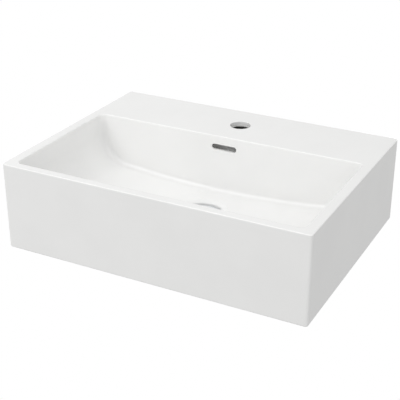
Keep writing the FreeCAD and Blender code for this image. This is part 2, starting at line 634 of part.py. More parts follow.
def build_waste_body():
    """Flange, 45 degree mouth and slotted tail in one piece, with a spider across it for the stud."""
    body = new_body("waste_body")
    shank = f"({TAIL_RADIUS} + shank_step)"
    run_out = f"({TAIL_RADIUS} - run_out_depth)"
    run_out_top = "-(tail_length - free_tail - run_out_width)"
    run_out_end = "-(tail_length - free_tail)"
    revolve(body, "waste_turned", [
        (MOUTH_RADIUS, "0"), ("flange_diameter / 2", "0"), ("flange_diameter / 2", "-flange_thickness"),
        (shank, "-flange_thickness"), (shank, "-(mouth_depth + tail_wall - shank_step)"),
        (TAIL_RADIUS, "-(mouth_depth + tail_wall)"), (TAIL_RADIUS, run_out_top), (run_out, run_out_top),
        (run_out, run_out_end), (TAIL_RADIUS, run_out_end), (TAIL_RADIUS, "-tail_length"),
        (TAIL_BORE, "-tail_length"), (TAIL_BORE, "-mouth_depth"),
    ])
    dress(body, "Fillet", "flange_edge", "flange_edge_radius",
          lambda edge: is_circle(edge, "flange_diameter / 2", "0"))
    # Overflow ports, in line with the channel through the basin's boss.
    ports = new_sketch(body, "port_outline", "YZ_Plane")
    port_middle = f"{THROAT_FLOOR} + throat_height / 2 - {FLANGE_TOP}"
    half_height, half_width = "(throat_height - 1) / 2", "port_width / 2"
    add_rectangle(ports, (f"-{half_width}", f"{port_middle} - {half_height}"),
                  (half_width, f"{port_middle} + {half_height}"))
    port = pocket(body, ports, "port", flipped=True)
    around_z(body, port, "ports", 4)
    # Spider: three arms and a threaded hub.
    arm_outline = new_sketch(body, "arm_outline", "XY_Plane", "-spider_drop")
    add_rectangle(arm_outline, ("0", "-spider_arm_width / 2"),
                  (f"{TAIL_BORE} + tail_wall / 3", "spider_arm_width / 2"))
    arm = pad(body, arm_outline, "arm", "spider_height", downward=True)
    around_z(body, arm, "arms", 3)
    hub_outline = new_sketch(body, "hub_outline", "XY_Plane", "-spider_drop")
    add_circle(hub_outline, "stud_diameter / 2 + spider_hub_wall")
    pad(body, hub_outline, "hub", "spider_height", downward=True)
    thread_outline = new_sketch(body, "hub_thread_outline", "XY_Plane", f"-spider_drop + {PAST}")
    add_circle(thread_outline, "stud_diameter / 2 + fit_gap")
    pocket(body, thread_outline, "hub_thread", f"spider_height + 2 * {PAST}")
    on_waste_axis(body, FLANGE_TOP)
    return body


def build_flange_gasket():
    body = ring("flange_gasket", f"{TAIL_RADIUS} + shank_step + fit_gap", "flange_diameter / 2 - gasket_inset",
                "gasket_thickness")
    on_waste_axis(body, SEAT)
    return body


def build_plug_cap():
    """The plug's disc with a crowned top and a threaded hub below."""
    body = new_body("plug_cap")
    spigot = "(spigot_diameter / 2 + fit_gap)"
    hub = "(spigot_diameter / 2 + plug_hub_wall)"
    crown = f"(({PLUG_RADIUS} ^ 2 + plug_crown ^ 2) / (2 * plug_crown))"
    revolve(body, "cap_turned", [
        (PLUG_RADIUS, "plug_proud"), ("0", "plug_proud + plug_crown"), ("0", f"{HUB_END} + spigot_length"),
        (spigot, f"{HUB_END} + spigot_length"), (spigot, HUB_END), (hub, HUB_END), (hub, PLUG_UNDER),
        (f"{PLUG_RADIUS} - plug_edge_bevel", PLUG_UNDER), (PLUG_RADIUS, f"{PLUG_UNDER} + plug_edge_bevel"),
    ], crown)
    on_waste_axis(body, FLANGE_TOP)
    return body


def build_plug_seal():
    """A round-section ring under the disc that closes on the mouth's 45 degree seat."""
    body = new_body("plug_seal")
    # The mouth's surface is as far inside its top edge as it is below it; the seal sits a gap inside that.
    level = f"({PLUG_UNDER} - plug_seal_radius)"
    centre = f"({MOUTH_RADIUS} + {level} - (plug_seal_radius + plug_seal_gap) * sqrt(2))"
    sketch = new_sketch(body, "seal_section")
    add_circle(sketch, "plug_seal_radius", (centre, level))
    turn(body, sketch, "seal_turned")
    on_waste_axis(body, FLANGE_TOP)
    return body


def build_plug_stem():
    """The sliding stem: a spigot up into the plug, a shank in the guide and a pin that carries the rotor."""
    body = new_body("plug_stem")
    shank = "guide_bore / 2 - fit_gap"
    spigot = "spigot_diameter / 2"
    pin = "stem_pin_diameter / 2"
    pin_end = f"{ROTOR_TOP} - rotor_height - stem_pin_end"
    spigot_end = f"{HUB_END} + spigot_length - end_gap"
    revolve(body, "stem_turned", [
        ("0", spigot_end), (spigot, spigot_end), (spigot, HUB_END), (shank, HUB_END), (shank, STEM_END),
        (pin, STEM_END), (pin, pin_end), ("0", pin_end),
    ])
    on_waste_axis(body, FLANGE_TOP)
    return body


def build_click_rotor():
    """The ring that turns an eighth at each press, with four lugs."""
    body = new_body("click_rotor")
    ring_radius = "(guide_bore / 2 - rotor_clearance - rotor_lug)"
    revolve(body, "rotor_turned", [
        ("stem_pin_diameter / 2 + fit_gap", "0"), (ring_radius, "0"), (ring_radius, "-rotor_height"),
        ("stem_pin_diameter / 2 + fit_gap", "-rotor_height"),
    ])
    lug_outline = new_sketch(body, "lug_outline", "XY_Plane")
    add_rectangle(lug_outline, (f"{ring_radius} - rotor_lug_root", "-rotor_lug"),
                  (f"{ring_radius} + rotor_lug", "rotor_lug"))
    lug = pad(body, lug_outline, "lug", "rotor_lug_height", downward=True)
    around_z(body, lug, "lugs", 4)
    bind(body, Base_y="-waste_from_wall", Base_z=f"{FLANGE_TOP} + {ROTOR_TOP}")
    return body


def build_click_guide():
    """The fixed sleeve on the stud in which the stem clicks up and down."""
    body = new_body("click_guide")
    outer, bore = "(guide_bore / 2 + guide_wall)", "guide_bore / 2"
    stud = "stud_diameter / 2 + fit_gap"
    foot = f"({GUIDE_TOP} - guide_length)"
    revolve(body, "guide_turned", [
        (bore, GUIDE_TOP), (f"{outer} - guide_chamfer", GUIDE_TOP), (outer, f"{GUIDE_TOP} - guide_chamfer"),
        (outer, foot), (stud, foot), (stud, GUIDE_FLOOR), (bore, GUIDE_FLOOR),
    ])
    on_waste_axis(body, FLANGE_TOP)
    return body


def build_click_spring():
    """A helical spring between the guide's floor and the rotor."""
    low = number(f"{FLANGE_TOP} + {GUIDE_FLOOR} + spring_wire / 2 + spring_end_gap")
    high = number(f"{FLANGE_TOP} + {ROTOR_TOP} - rotor_height - spring_wire / 2 - spring_end_gap")
    mean = number("guide_bore / 2 - spring_gap - spring_wire / 2")
    path = Part.makeHelix((high - low) / number("spring_turns"), high - low, mean)
    section = Part.Wire([Part.makeCircle(number("spring_wire / 2"), Vector(mean, 0, 0), Vector(0, 1, 0))])
    spring = document.addObject("Part::Feature", "click_spring")
    spring.Label = "click_spring"
    spring.Shape = Part.Wire(path.Edges).makePipeShell([section], True, True)
    spring.Placement.Base = Vector(0, -number("waste_from_wall"), low)
    return spring


def build_plug_stud():
    body = new_body("plug_stud")
    radius = "stud_diameter / 2"
    top = f"({GUIDE_FLOOR} - end_gap)"
    end = f"({top} - stud_length)"
    revolve(body, "stud_turned", [
        ("0", top), (f"{radius} - stud_chamfer", top), (radius, f"{top} - stud_chamfer"),
        (radius, f"{end} + stud_chamfer"), (f"{radius} - stud_chamfer", end), ("0", end),
    ])
    on_waste_axis(body, FLANGE_TOP)
    return body


def build_stud_lock_nut():
    body = hex_nut("stud_lock_nut", "lock_nut_flats", "lock_nut_height", "stud_diameter / 2 + fit_gap")
    on_waste_axis(body, f"{FLANGE_TOP} - spider_drop")
    return body


def build_lower_seal():
    """The tapered rubber that centres the tail in the basin's hole and seals the boss from below."""
    body = new_body("lower_seal")
    inner = f"({TAIL_RADIUS} + fit_gap)"
    revolve(body, "lower_seal_turned", [
        (inner, "-lower_seal_thickness"), (LOWER_SEAL, "-lower_seal_thickness"),
        (LOWER_SEAL, "-lower_seal_thickness / 2"), (f"{LOWER_SEAL} - lower_seal_bearing / 2", "0"),
        (f"{WASTE_HOLE} - fit_gap", "0"), (f"{inner} + waste_hole_gap / 2", "lower_seal_plug"),
        (inner, "lower_seal_plug"),
    ])
    on_waste_axis(body, BOSS_END)
    return body


def build_slip_washer():
    body = ring("slip_washer", f"{TAIL_RADIUS} + fit_gap", LOWER_SEAL, "slip_washer_thickness")
    on_waste_axis(body, f"{BOSS_END} - lower_seal_thickness - slip_washer_thickness")
    return body


def build_back_nut():
    body = hex_nut("back_nut", "back_nut_flats", "back_nut_height", f"{TAIL_RADIUS} + fit_gap")
    on_waste_axis(body, f"{BOSS_END} - lower_seal_thickness - slip_washer_thickness - back_nut_height")
    return body


# ---------------------------------------------------------------- wall fixings

def build_hanger_bolt(side, word):
    """Machine thread out of the wall, wood screw into the plug."""
    body = new_body(f"hanger_bolt_{word}")
    thread, screw = "bolt_diameter / 2", "wood_screw_diameter / 2"
    back = "-(bolt_thread_in_wall + wood_screw_length)"
    revolve(body, f"hanger_bolt_{word}_turned", [
        ("0", "bolt_reach"), (f"{thread} - bolt_chamfer", "bolt_reach"), (thread, "bolt_reach - bolt_chamfer"),
        (thread, "-bolt_thread_in_wall"), (screw, "-bolt_thread_in_wall"),
        (screw, f"{back} + 2 * {screw}"), ("0", back),
    ])
    on_fixing(body, side, "0")
    return body


def build_wall_plug(side, word):
    """A nylon plug flush with the wall's face, slit from its far end."""
    body = new_body(f"wall_plug_{word}")
    outer = "wall_plug_diameter / 2"
    mouth, bore = "bolt_diameter / 2 + fit_gap", "wood_screw_diameter / 2 + fit_gap"
    mouth_end = "-(bolt_thread_in_wall + wall_plug_shoulder)"
    revolve(body, f"wall_plug_{word}_turned", [
        (mouth, "0"), (f"{outer} - wall_plug_bevel", "0"), (outer, "-wall_plug_bevel"),
        (outer, "-wall_plug_length + 3 * wall_plug_bevel"),
        (f"{outer} - 1.5 * wall_plug_bevel", "-wall_plug_length"),
        (bore, "-wall_plug_length"), (bore, mouth_end), (mouth, mouth_end),
    ])
    slit = new_sketch(body, f"wall_plug_{word}_slit_outline", "XZ_Plane")
    add_rectangle(slit, ("-wall_plug_slit / 2", f"-wall_plug_length - {PAST}"),
                  ("wall_plug_slit / 2", "-wall_plug_length / 2"))
    pocket(body, slit, f"wall_plug_{word}_slit", midplane=True)
    on_fixing(body, side, "0")
    return body


def build_fixing_bush(side, word):
    """The nylon bush that centres the bolt in the basin's hole and spreads the nut's load."""
    body = new_body(f"fixing_bush_{word}")
    inner = "bolt_diameter / 2 + bolt_gap"
    sleeve = "fixing_hole_diameter / 2 - bush_sleeve_gap"
    sleeve_end = "-(wall_thickness - bush_sleeve_short)"
    flange = "bush_flange_diameter / 2"
    revolve(body, f"fixing_bush_{word}_turned", [
        (inner, sleeve_end), (sleeve, sleeve_end), (sleeve, "0"), (flange, "0"),
        (flange, "bush_flange_thickness"), (inner, "bush_flange_thickness"),
    ])
    on_fixing(body, side, "wall_thickness")
    return body


def build_fixing_washer(side, word):
    body = ring(f"fixing_washer_{word}", "bolt_diameter / 2 + bolt_gap", "fixing_washer_diameter / 2",
                "fixing_washer_thickness")
    on_fixing(body, side, "wall_thickness + bush_flange_thickness")
    return body


def build_fixing_nut(side, word):
    body = hex_nut(f"fixing_nut_{word}", "fixing_nut_flats", "fixing_nut_height", "bolt_diameter / 2 + fit_gap")
    on_fixing(body, side, "wall_thickness + bush_flange_thickness + fixing_washer_thickness")
    return body


pieces = [
    build_basin(),
    build_waste_body(),
    build_flange_gasket(),
    build_plug_cap(),
    build_plug_seal(),
    build_plug_stem(),
    build_click_rotor(),
    build_click_guide(),
    build_click_spring(),
    build_plug_stud(),
    build_stud_lock_nut(),
    build_lower_seal(),
    build_slip_washer(),
    build_back_nut(),
]
for side, word in ((-1, "left"), (1, "right")):
    for build in (build_hanger_bolt, build_wall_plug, build_fixing_bush, build_fixing_washer, build_fixing_nut):
        pieces.append(build(side, word))
document.recompute()

for thing in document.Objects:
    if {"Invalid", "Error"} & set(thing.State):
        raise RuntimeError(f"{thing.Label} failed: {thing.State}")
for piece in pieces:
    if piece.Shape.isNull() or not piece.Shape.isValid() or len(piece.Shape.Solids) != 1:
        raise RuntimeError(f"{piece.Label} is not one valid solid")

os.makedirs("parts", exist_ok=True)
for piece in pieces:
    piece.Shape.exportStep(f"parts/{piece.Label}.step")
    box = piece.Shape.BoundBox
    print(f"{piece.Label:22s} {piece.Shape.Volume:12.1f} mm3  x {box.XMin:8.2f} {box.XMax:8.2f}"
          f"  y {box.YMin:8.2f} {box.YMax:8.2f}  z {box.ZMin:8.2f} {box.ZMax:8.2f}")
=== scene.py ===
import math

import bpy
from mathutils import Matrix, Vector


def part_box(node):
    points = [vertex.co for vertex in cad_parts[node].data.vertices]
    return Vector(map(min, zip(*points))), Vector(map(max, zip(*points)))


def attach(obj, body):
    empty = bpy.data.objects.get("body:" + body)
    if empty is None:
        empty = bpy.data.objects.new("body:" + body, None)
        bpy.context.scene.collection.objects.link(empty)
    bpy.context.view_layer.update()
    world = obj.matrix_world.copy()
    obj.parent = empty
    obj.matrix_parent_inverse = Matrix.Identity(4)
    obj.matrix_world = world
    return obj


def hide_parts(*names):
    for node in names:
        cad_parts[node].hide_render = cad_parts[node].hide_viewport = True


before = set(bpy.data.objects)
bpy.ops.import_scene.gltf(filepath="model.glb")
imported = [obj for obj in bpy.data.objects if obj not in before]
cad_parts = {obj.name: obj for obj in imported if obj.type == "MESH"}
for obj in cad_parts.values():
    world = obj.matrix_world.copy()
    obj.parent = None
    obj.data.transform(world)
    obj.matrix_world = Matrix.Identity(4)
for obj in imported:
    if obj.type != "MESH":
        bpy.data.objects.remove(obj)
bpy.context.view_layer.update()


# ---------------------------------------------------------------- Camera
# A longish lens, standing in front and to the right of the basin and a little above its rim.
camera_data = bpy.data.cameras.new("camera")
camera_data.lens = 85.05
camera_data.sensor_width = 36
camera_data.clip_start = 0.01
camera_data.clip_end = 100
camera = bpy.data.objects.new("camera", camera_data)
bpy.context.scene.collection.objects.link(camera)
bpy.context.scene.camera = camera
camera_aim = Vector((-0.0107, -0.1928, -0.0293))
camera.location = (0.6371, -1.4346, 0.6463)
camera.rotation_euler = (camera_aim - camera.location).to_track_quat("-Z", "Y").to_euler()
bpy.context.scene.view_settings.view_transform = "Standard"


# ---------------------------------------------------------------- Studio
# A white floor well below the waste, lit evenly so that it runs into the background, in a soft white room
# brightest in front on the right, with wide soft lights on the left, overhead and low behind. A card under the
# basin stands for the worktop: it isn't seen itself, and keeps the room's light out of the hollow underside.
def linear(code):
    """A colour written as sRGB hex, as the linear numbers the nodes take."""
    channels = [int(code[i:i + 2], 16) / 255 for i in (0, 2, 4)]
    return tuple(c / 12.92 if c <= 0.04045 else ((c + 0.055) / 1.055) ** 2.4 for c in channels) + (1.0,)


def add_node(tree, kind, inputs=None, **settings):
    """Adds a node, sets its settings, and fills its sockets with values or links."""
    added = tree.nodes.new(kind)
    for name, value in settings.items():
        setattr(added, name, value)
    for socket, value in (inputs or {}).items():
        if isinstance(value, bpy.types.NodeSocket):
            tree.links.new(value, added.inputs[socket])
        else:
            added.inputs[socket].default_value = value
    return added


# The room's walls shine on the basin by these amounts, each strongest straight ahead of it.
room_walls = (((-1, 0, 0), 0.75), ((0.58, -0.58, 0.57), 1.17), ((0, 1, 0), 0.50), ((0, 0, -1), 0.20))
world = bpy.data.worlds.new("studio_room")
bpy.context.scene.world = world
world.use_nodes = True
room = world.node_tree
room.nodes.clear()
direction = add_node(room, "ShaderNodeTexCoord").outputs["Generated"]
glow = 0.0
for facing, strength in room_walls:
    towards = add_node(room, "ShaderNodeVectorMath", {0: direction, 1: facing}, operation="DOT_PRODUCT")
    ahead = add_node(room, "ShaderNodeMath", {0: towards.outputs["Value"], 1: 0.0}, operation="MAXIMUM")
    glow = add_node(room, "ShaderNodeMath", {0: ahead.outputs[0], 1: strength, 2: glow},
                    operation="MULTIPLY_ADD").outputs[0]
room_light = add_node(room, "ShaderNodeBackground", {"Color": linear("FFFFFF"), "Strength": glow})
room_seen = add_node(room, "ShaderNodeBackground", {"Color": linear("FFFFFF"), "Strength": 1.0})
seen = add_node(room, "ShaderNodeLightPath")
room_mix = add_node(room, "ShaderNodeMixShader", {0: seen.outputs["Is Camera Ray"], 1: room_light.outputs[0],
                                                  2: room_seen.outputs[0]})
add_node(room, "ShaderNodeOutputWorld", {"Surface": room_mix.outputs[0]})


def soft_light(name, place, width, height, power, colour="FFFFFF"):
    data = bpy.data.lights.new(name, "AREA")
    data.shape = "RECTANGLE"
    data.size = width
    data.size_y = height
    data.energy = power
    data.color = linear(colour)[:3]
    light = bpy.data.objects.new(name, data)
    bpy.context.scene.collection.objects.link(light)
    light.location = place
    light.rotation_euler = (Vector((0.0, -0.19, -0.01)) - Vector(place)).to_track_quat("-Z", "Y").to_euler()
    light.visible_camera = False


soft_light("key", (-1.4, -2.2, 2.0), 2.0, 2.0, 23)
soft_light("overhead", (0.0, -0.3, 2.4), 3.6, 3.6, 9)
soft_light("behind", (0.3, 2.4, -0.35), 1.8, 0.6, 12)

bpy.ops.object.select_all(action="DESELECT")
bpy.ops.mesh.primitive_plane_add(size=40, location=(0, 0, -0.16))
floor = bpy.context.object
floor.name = "floor"
floor_paper = bpy.data.materials.new("white_paper")
floor_paper.use_nodes = True
paper = floor_paper.node_tree
paper.nodes.clear()
paper_glow = add_node(paper, "ShaderNodeEmission", {"Color": linear("FFFFFF"), "Strength": 1.0})
add_node(paper, "ShaderNodeOutputMaterial", {"Surface": paper_glow.outputs[0]})
floor.data.materials.append(floor_paper)
floor.visible_diffuse = False
floor.visible_glossy = False
floor.visible_shadow = False

bpy.ops.object.select_all(action="DESELECT")
bpy.ops.mesh.primitive_plane_add(size=1, location=(0, -0.1925, -0.0858))
worktop_card = bpy.context.object
worktop_card.name = "worktop_card"
worktop_card.scale = (0.505, 0.375, 1)
worktop_card.visible_camera = False
grey_card = bpy.data.materials.new("grey_card")
grey_card.use_nodes = True
card = grey_card.node_tree
card.nodes.clear()
card_matt = add_node(card, "ShaderNodeBsdfDiffuse", {"Color": linear("8C8C8A")})
add_node(card, "ShaderNodeOutputMaterial", {"Surface": card_matt.outputs[0]})
worktop_card.data.materials.append(grey_card)


# ---------------------------------------------------------------- Basin
# One hollow casting of vitreous china, slip cast in plaster and fired with a thick white glaze. The foot that
# it stood on in the kiln and the back that goes to the wall are wiped clean of glaze.
# Glaze: glossy, a little uneven in thickness and tone, with the slight orange peel of a sprayed coat.
# Bare china: fine, matt and a little warmer.
def new_material(name):
    """An empty material, and its tree with the place of each point in metres."""
    material = bpy.data.materials.new(name)
    material.use_nodes = True
    tree = material.node_tree
    tree.nodes.clear()
    return material, tree, add_node(tree, "ShaderNodeTexCoord").outputs["Object"]


white_china, tree, place = new_material("glazed_vitreous_china")
pooling = add_node(tree, "ShaderNodeTexNoise", {"Vector": place, "Scale": 14.0, "Detail": 3.0,
                                                "Roughness": 0.5})
glaze_tone = add_node(tree, "ShaderNodeValToRGB", {"Fac": pooling.outputs["Fac"]})
glaze_tone.color_ramp.elements[0].position = 0.35
glaze_tone.color_ramp.elements[0].color = linear("F0F0EF")
glaze_tone.color_ramp.elements[1].position = 0.65
glaze_tone.color_ramp.elements[1].color = linear("F2F2F1")
# The peel's ripples are about 8 mm apart, and bare china has a grain of about half a millimetre.
peel = add_node(tree, "ShaderNodeTexNoise", {"Vector": place, "Scale": 120.0, "Detail": 1.0,
                                             "Roughness": 0.4})
grain = add_node(tree, "ShaderNodeTexNoise", {"Vector": place, "Scale": 2000.0, "Detail": 2.0})
parts_of_place = add_node(tree, "ShaderNodeSeparateXYZ", {0: place})
# The glaze stops this far above the foot and in front of the back.
foot_line = -0.0847
back_line = -0.0003
foot = add_node(tree, "ShaderNodeMath", {0: parts_of_place.outputs["Z"], 1: foot_line}, operation="LESS_THAN")
back = add_node(tree, "ShaderNodeMath", {0: parts_of_place.outputs["Y"], 1: back_line},
                operation="GREATER_THAN")
bare = add_node(tree, "ShaderNodeMath", {0: foot.outputs[0], 1: back.outputs[0]},
                operation="MAXIMUM").outputs[0]
bare_tone = add_node(tree, "ShaderNodeValToRGB", {"Fac": grain.outputs["Fac"]})
bare_tone.color_ramp.elements[0].color = linear("DEDACF")
bare_tone.color_ramp.elements[1].color = linear("E9E6DC")
tone = add_node(tree, "ShaderNodeMix", {"Factor": bare, "A": glaze_tone.outputs["Color"],
                                        "B": bare_tone.outputs["Color"]}, data_type="RGBA")
gloss = add_node(tree, "ShaderNodeMapRange", {"Value": pooling.outputs["Fac"], "To Min": 0.07,
                                              "To Max": 0.13})
dullness = add_node(tree, "ShaderNodeMix", {"Factor": bare, "A": gloss.outputs["Result"], "B": 0.75},
                    data_type="FLOAT")
relief = add_node(tree, "ShaderNodeMix", {"Factor": bare, "A": peel.outputs["Fac"],
                                          "B": grain.outputs["Fac"]}, data_type="FLOAT")
surface = add_node(tree, "ShaderNodeBump", {"Height": relief.outputs[0], "Strength": 0.15,
                                            "Distance": 0.0001})
shader = add_node(tree, "ShaderNodeBsdfPrincipled", {"Base Color": tone.outputs[2], "IOR": 1.52,
                                                     "Roughness": dullness.outputs[0],
                                                     "Normal": surface.outputs["Normal"]})
add_node(tree, "ShaderNodeOutputMaterial", {"Surface": shader.outputs[0]})


def finish_node(name, material):
    """Gives a carried-over part its material."""
    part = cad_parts[name]
    part.data.materials.clear()
    part.data.materials.append(material)


finish_node("basin", white_china)


# ---------------------------------------------------------------- Waste body
# Flange, mouth and tail turned from one brass bar, with four slots for the overflow and a three-armed spider
# for the stud, then polished and chromed. The tail has a G 1 1/4 pipe thread, cut with a 55 degree tool.
# Chrome: a mirror with a faint bluish tone, fine polishing marks and slightly duller patches.
def add_metal(name, dark, light, low_rough, high_rough, patch, mark, mark_stretch, relief_depth):
    """A metal with tone and roughness that vary in patches, and fine tool marks drawn out along one axis."""
    material, tree, place = new_material(name)
    patches = add_node(tree, "ShaderNodeTexNoise", {"Vector": place, "Scale": patch, "Detail": 4.0})
    drawn = add_node(tree, "ShaderNodeMapping", {"Vector": place, "Scale": mark_stretch})
    marks = add_node(tree, "ShaderNodeTexNoise", {"Vector": drawn.outputs["Vector"], "Scale": mark,
                                                  "Detail": 2.0})
    ramp = add_node(tree, "ShaderNodeValToRGB", {"Fac": patches.outputs["Fac"]})
    ramp.color_ramp.elements[0].position = 0.3
    ramp.color_ramp.elements[0].color = linear(dark)
    ramp.color_ramp.elements[1].position = 0.7
    ramp.color_ramp.elements[1].color = linear(light)
    both = add_node(tree, "ShaderNodeMath", {0: patches.outputs["Fac"], 1: marks.outputs["Fac"]},
                    operation="MULTIPLY")
    rough = add_node(tree, "ShaderNodeMapRange", {"Value": both.outputs[0], "From Min": 0.1, "From Max": 0.5,
                                                  "To Min": low_rough, "To Max": high_rough})
    bump = add_node(tree, "ShaderNodeBump", {"Height": marks.outputs["Fac"], "Strength": 0.3,
                                             "Distance": relief_depth})
    metal = add_node(tree, "ShaderNodeBsdfPrincipled", {"Base Color": ramp.outputs["Color"], "Metallic": 1.0,
                                                        "Roughness": rough.outputs["Result"],
                                                        "Normal": bump.outputs["Normal"]})
    add_node(tree, "ShaderNodeOutputMaterial", {"Surface": metal.outputs[0]})
    return material


chrome = add_metal("polished_chrome_plate", "D9DCDF", "E8EAEC", 0.05, 0.14, 90.0, 1500.0, (1, 1, 1), 0.000005)


def draw_line(name, places):
    """A line of edges drawn through the places by extruding one point."""
    bpy.ops.object.select_all(action="DESELECT")
    bpy.ops.mesh.primitive_plane_add(size=0.001, location=(0, 0, 0))
    line = bpy.context.object
    line.name = name
    bpy.ops.object.mode_set(mode="EDIT")
    bpy.ops.mesh.merge(type="CENTER")
    bpy.ops.transform.translate(value=places[0])
    for before, after in zip(places, places[1:]):
        bpy.ops.mesh.extrude_region_move(TRANSFORM_OT_translate={"value": Vector(after) - Vector(before)})
    bpy.ops.object.mode_set(mode="OBJECT")
    return line


def apply_modifiers(piece):
    """Applies the piece's modifiers, in order, with nothing else selected."""
    bpy.ops.object.select_all(action="DESELECT")
    piece.select_set(True)
    bpy.context.view_layer.objects.active = piece
    for modifier in list(piece.modifiers):
        bpy.ops.object.modifier_apply(modifier=modifier.name)


def sweep(line, steps, rise=0.0, turns=1):
    """Turns a drawn line about the Z axis, rising by `rise` at each turn, and joins the seams."""
    screw = line.modifiers.new("screw", "SCREW")
    screw.axis = "Z"
    screw.angle = math.tau
    screw.screw_offset = rise
    screw.iterations = turns
    screw.steps = steps
    screw.render_steps = steps
    screw.use_merge_vertices = rise == 0
    screw.merge_threshold = 0.000002
    apply_modifiers(line)
    bpy.ops.object.mode_set(mode="EDIT")
    bpy.ops.mesh.select_all(action="SELECT")
    bpy.ops.mesh.remove_doubles(threshold=0.000002)
    bpy.ops.mesh.normals_make_consistent(inside=False)
    bpy.ops.object.mode_set(mode="OBJECT")
    return line


def threaded_rod(name, radius, depth, pitch, low, high, crest=0.13, root=0.25, steps=48):
    """A rod along Z with a right-hand thread, cut square at both ends. Crest and root are flats, as shares of
    the pitch."""
    start = low - 1.5 * pitch
    flank = (1 - crest - root) / 2
    heights = (0, root / 2, root / 2 + flank, root / 2 + flank + crest, 1 - root / 2, 1)
    radii = (radius - depth, radius - depth, radius, radius, radius - depth, radius - depth)
    line = draw_line(name, [(r, 0, start + h * pitch) for r, h in zip(radii, heights)])
    rod = sweep(line, steps, pitch, math.ceil((high - low) / pitch + 3))
    bpy.ops.object.mode_set(mode="EDIT")
    for height, below in ((low, True), (high, False)):
        bpy.ops.mesh.select_all(action="SELECT")
        bpy.ops.mesh.bisect(plane_co=(0, 0, height), plane_no=(0, 0, 1), use_fill=True,
                            clear_inner=below, clear_outer=not below)
    bpy.ops.mesh.select_all(action="SELECT")
    bpy.ops.mesh.normals_make_consistent(inside=False)
    bpy.ops.object.mode_set(mode="OBJECT")
    return rod


def cut(piece, tool, operation="DIFFERENCE"):
    """Cuts a tool out of a piece, and takes the tool away."""
    boolean = piece.modifiers.new("cut", "BOOLEAN")
    boolean.operation = operation
    boolean.solver = "EXACT"
    boolean.object = tool
    apply_modifiers(piece)
    bpy.data.objects.remove(tool)


def copy_of_node(name, copy_name):
    """A copy of a carried-over part, its loose triangles joined."""
    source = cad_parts[name]
    copied = bpy.data.objects.new(copy_name, source.data.copy())
    bpy.context.scene.collection.objects.link(copied)
    bpy.ops.object.select_all(action="DESELECT")
    copied.select_set(True)
    bpy.context.view_layer.objects.active = copied
    bpy.ops.object.mode_set(mode="EDIT")
    bpy.ops.mesh.select_all(action="SELECT")
    bpy.ops.mesh.remove_doubles(threshold=0.000001)
    bpy.ops.object.mode_set(mode="OBJECT")
    return copied


def finish_piece(piece, body, node, material, angle=35):
    """Smooths a piece below the angle, paints it, and lets it stand for its part of the frame."""
    bpy.ops.object.select_all(action="DESELECT")
    piece.select_set(True)
    bpy.context.view_layer.objects.active = piece
    bpy.ops.object.shade_smooth_by_angle(angle=math.radians(angle))
    piece.data.materials.clear()
    piece.data.materials.append(material)
    for polygon in piece.data.polygons:
        polygon.material_index = 0
    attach(piece, body)
    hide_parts(node)


waste_low, waste_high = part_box("waste_body")
tail_pitch = 0.002309
tail_crest = 0.0208
tail_thread_depth = 0.00148
thread_overrun = 0.004
swarf_radius = 0.0235
thread_top = waste_high[2] - 0.0115
tail_end = waste_low[2]
waste_axis = Matrix.Translation((0, -0.207, 0))
tail_thread = threaded_rod("tail_thread", tail_crest, tail_thread_depth, tail_pitch,
                           tail_end - thread_overrun, thread_top + thread_overrun, crest=0.2, root=0.2)
bpy.ops.object.select_all(action="DESELECT")
bpy.ops.mesh.primitive_cylinder_add(vertices=96, radius=swarf_radius, depth=thread_top - tail_end + 0.002,
                                    location=(0, 0, (thread_top + tail_end) / 2 - 0.001))
swarf = bpy.context.object
swarf.name = "tail_swarf"
bpy.ops.object.transform_apply()
cut(swarf, tail_thread)
swarf.data.transform(waste_axis)
waste_body = copy_of_node("waste_body", "waste_body_threaded")
cut(waste_body, swarf)
finish_piece(waste_body, "basin_set", "waste_body", chrome)


# ---------------------------------------------------------------- Rubber seals
# The flange's gasket, the plug's ring and the tapered seal under the boss, moulded in black rubber.
# Rubber: nearly black, matt, with a fine mould texture and a greyish bloom in patches.
black_rubber, tree, place = new_material("moulded_black_rubber")
bloom = add_node(tree, "ShaderNodeTexNoise", {"Vector": place, "Scale": 160.0, "Detail": 4.0})
rubber_grain = add_node(tree, "ShaderNodeTexNoise", {"Vector": place, "Scale": 3000.0, "Detail": 2.0})
rubber_tone = add_node(tree, "ShaderNodeValToRGB", {"Fac": bloom.outputs["Fac"]})
rubber_tone.color_ramp.elements[0].position = 0.35
rubber_tone.color_ramp.elements[0].color = linear("1B1B1B")
rubber_tone.color_ramp.elements[1].position = 0.75
rubber_tone.color_ramp.elements[1].color = linear("2E2D2C")
rubber_rough = add_node(tree, "ShaderNodeMapRange", {"Value": bloom.outputs["Fac"], "To Min": 0.55,
                                                     "To Max": 0.85})
rubber_bump = add_node(tree, "ShaderNodeBump", {"Height": rubber_grain.outputs["Fac"], "Strength": 0.4,
                                                "Distance": 0.00003})
shader = add_node(tree, "ShaderNodeBsdfPrincipled", {"Base Color": rubber_tone.outputs["Color"], "IOR": 1.52,
                                                     "Roughness": rubber_rough.outputs["Result"],
                                                     "Normal": rubber_bump.outputs["Normal"]})
add_node(tree, "ShaderNodeOutputMaterial", {"Surface": shader.outputs[0]})
for name in ("flange_gasket", "plug_seal", "lower_seal"):
    finish_node(name, black_rubber)


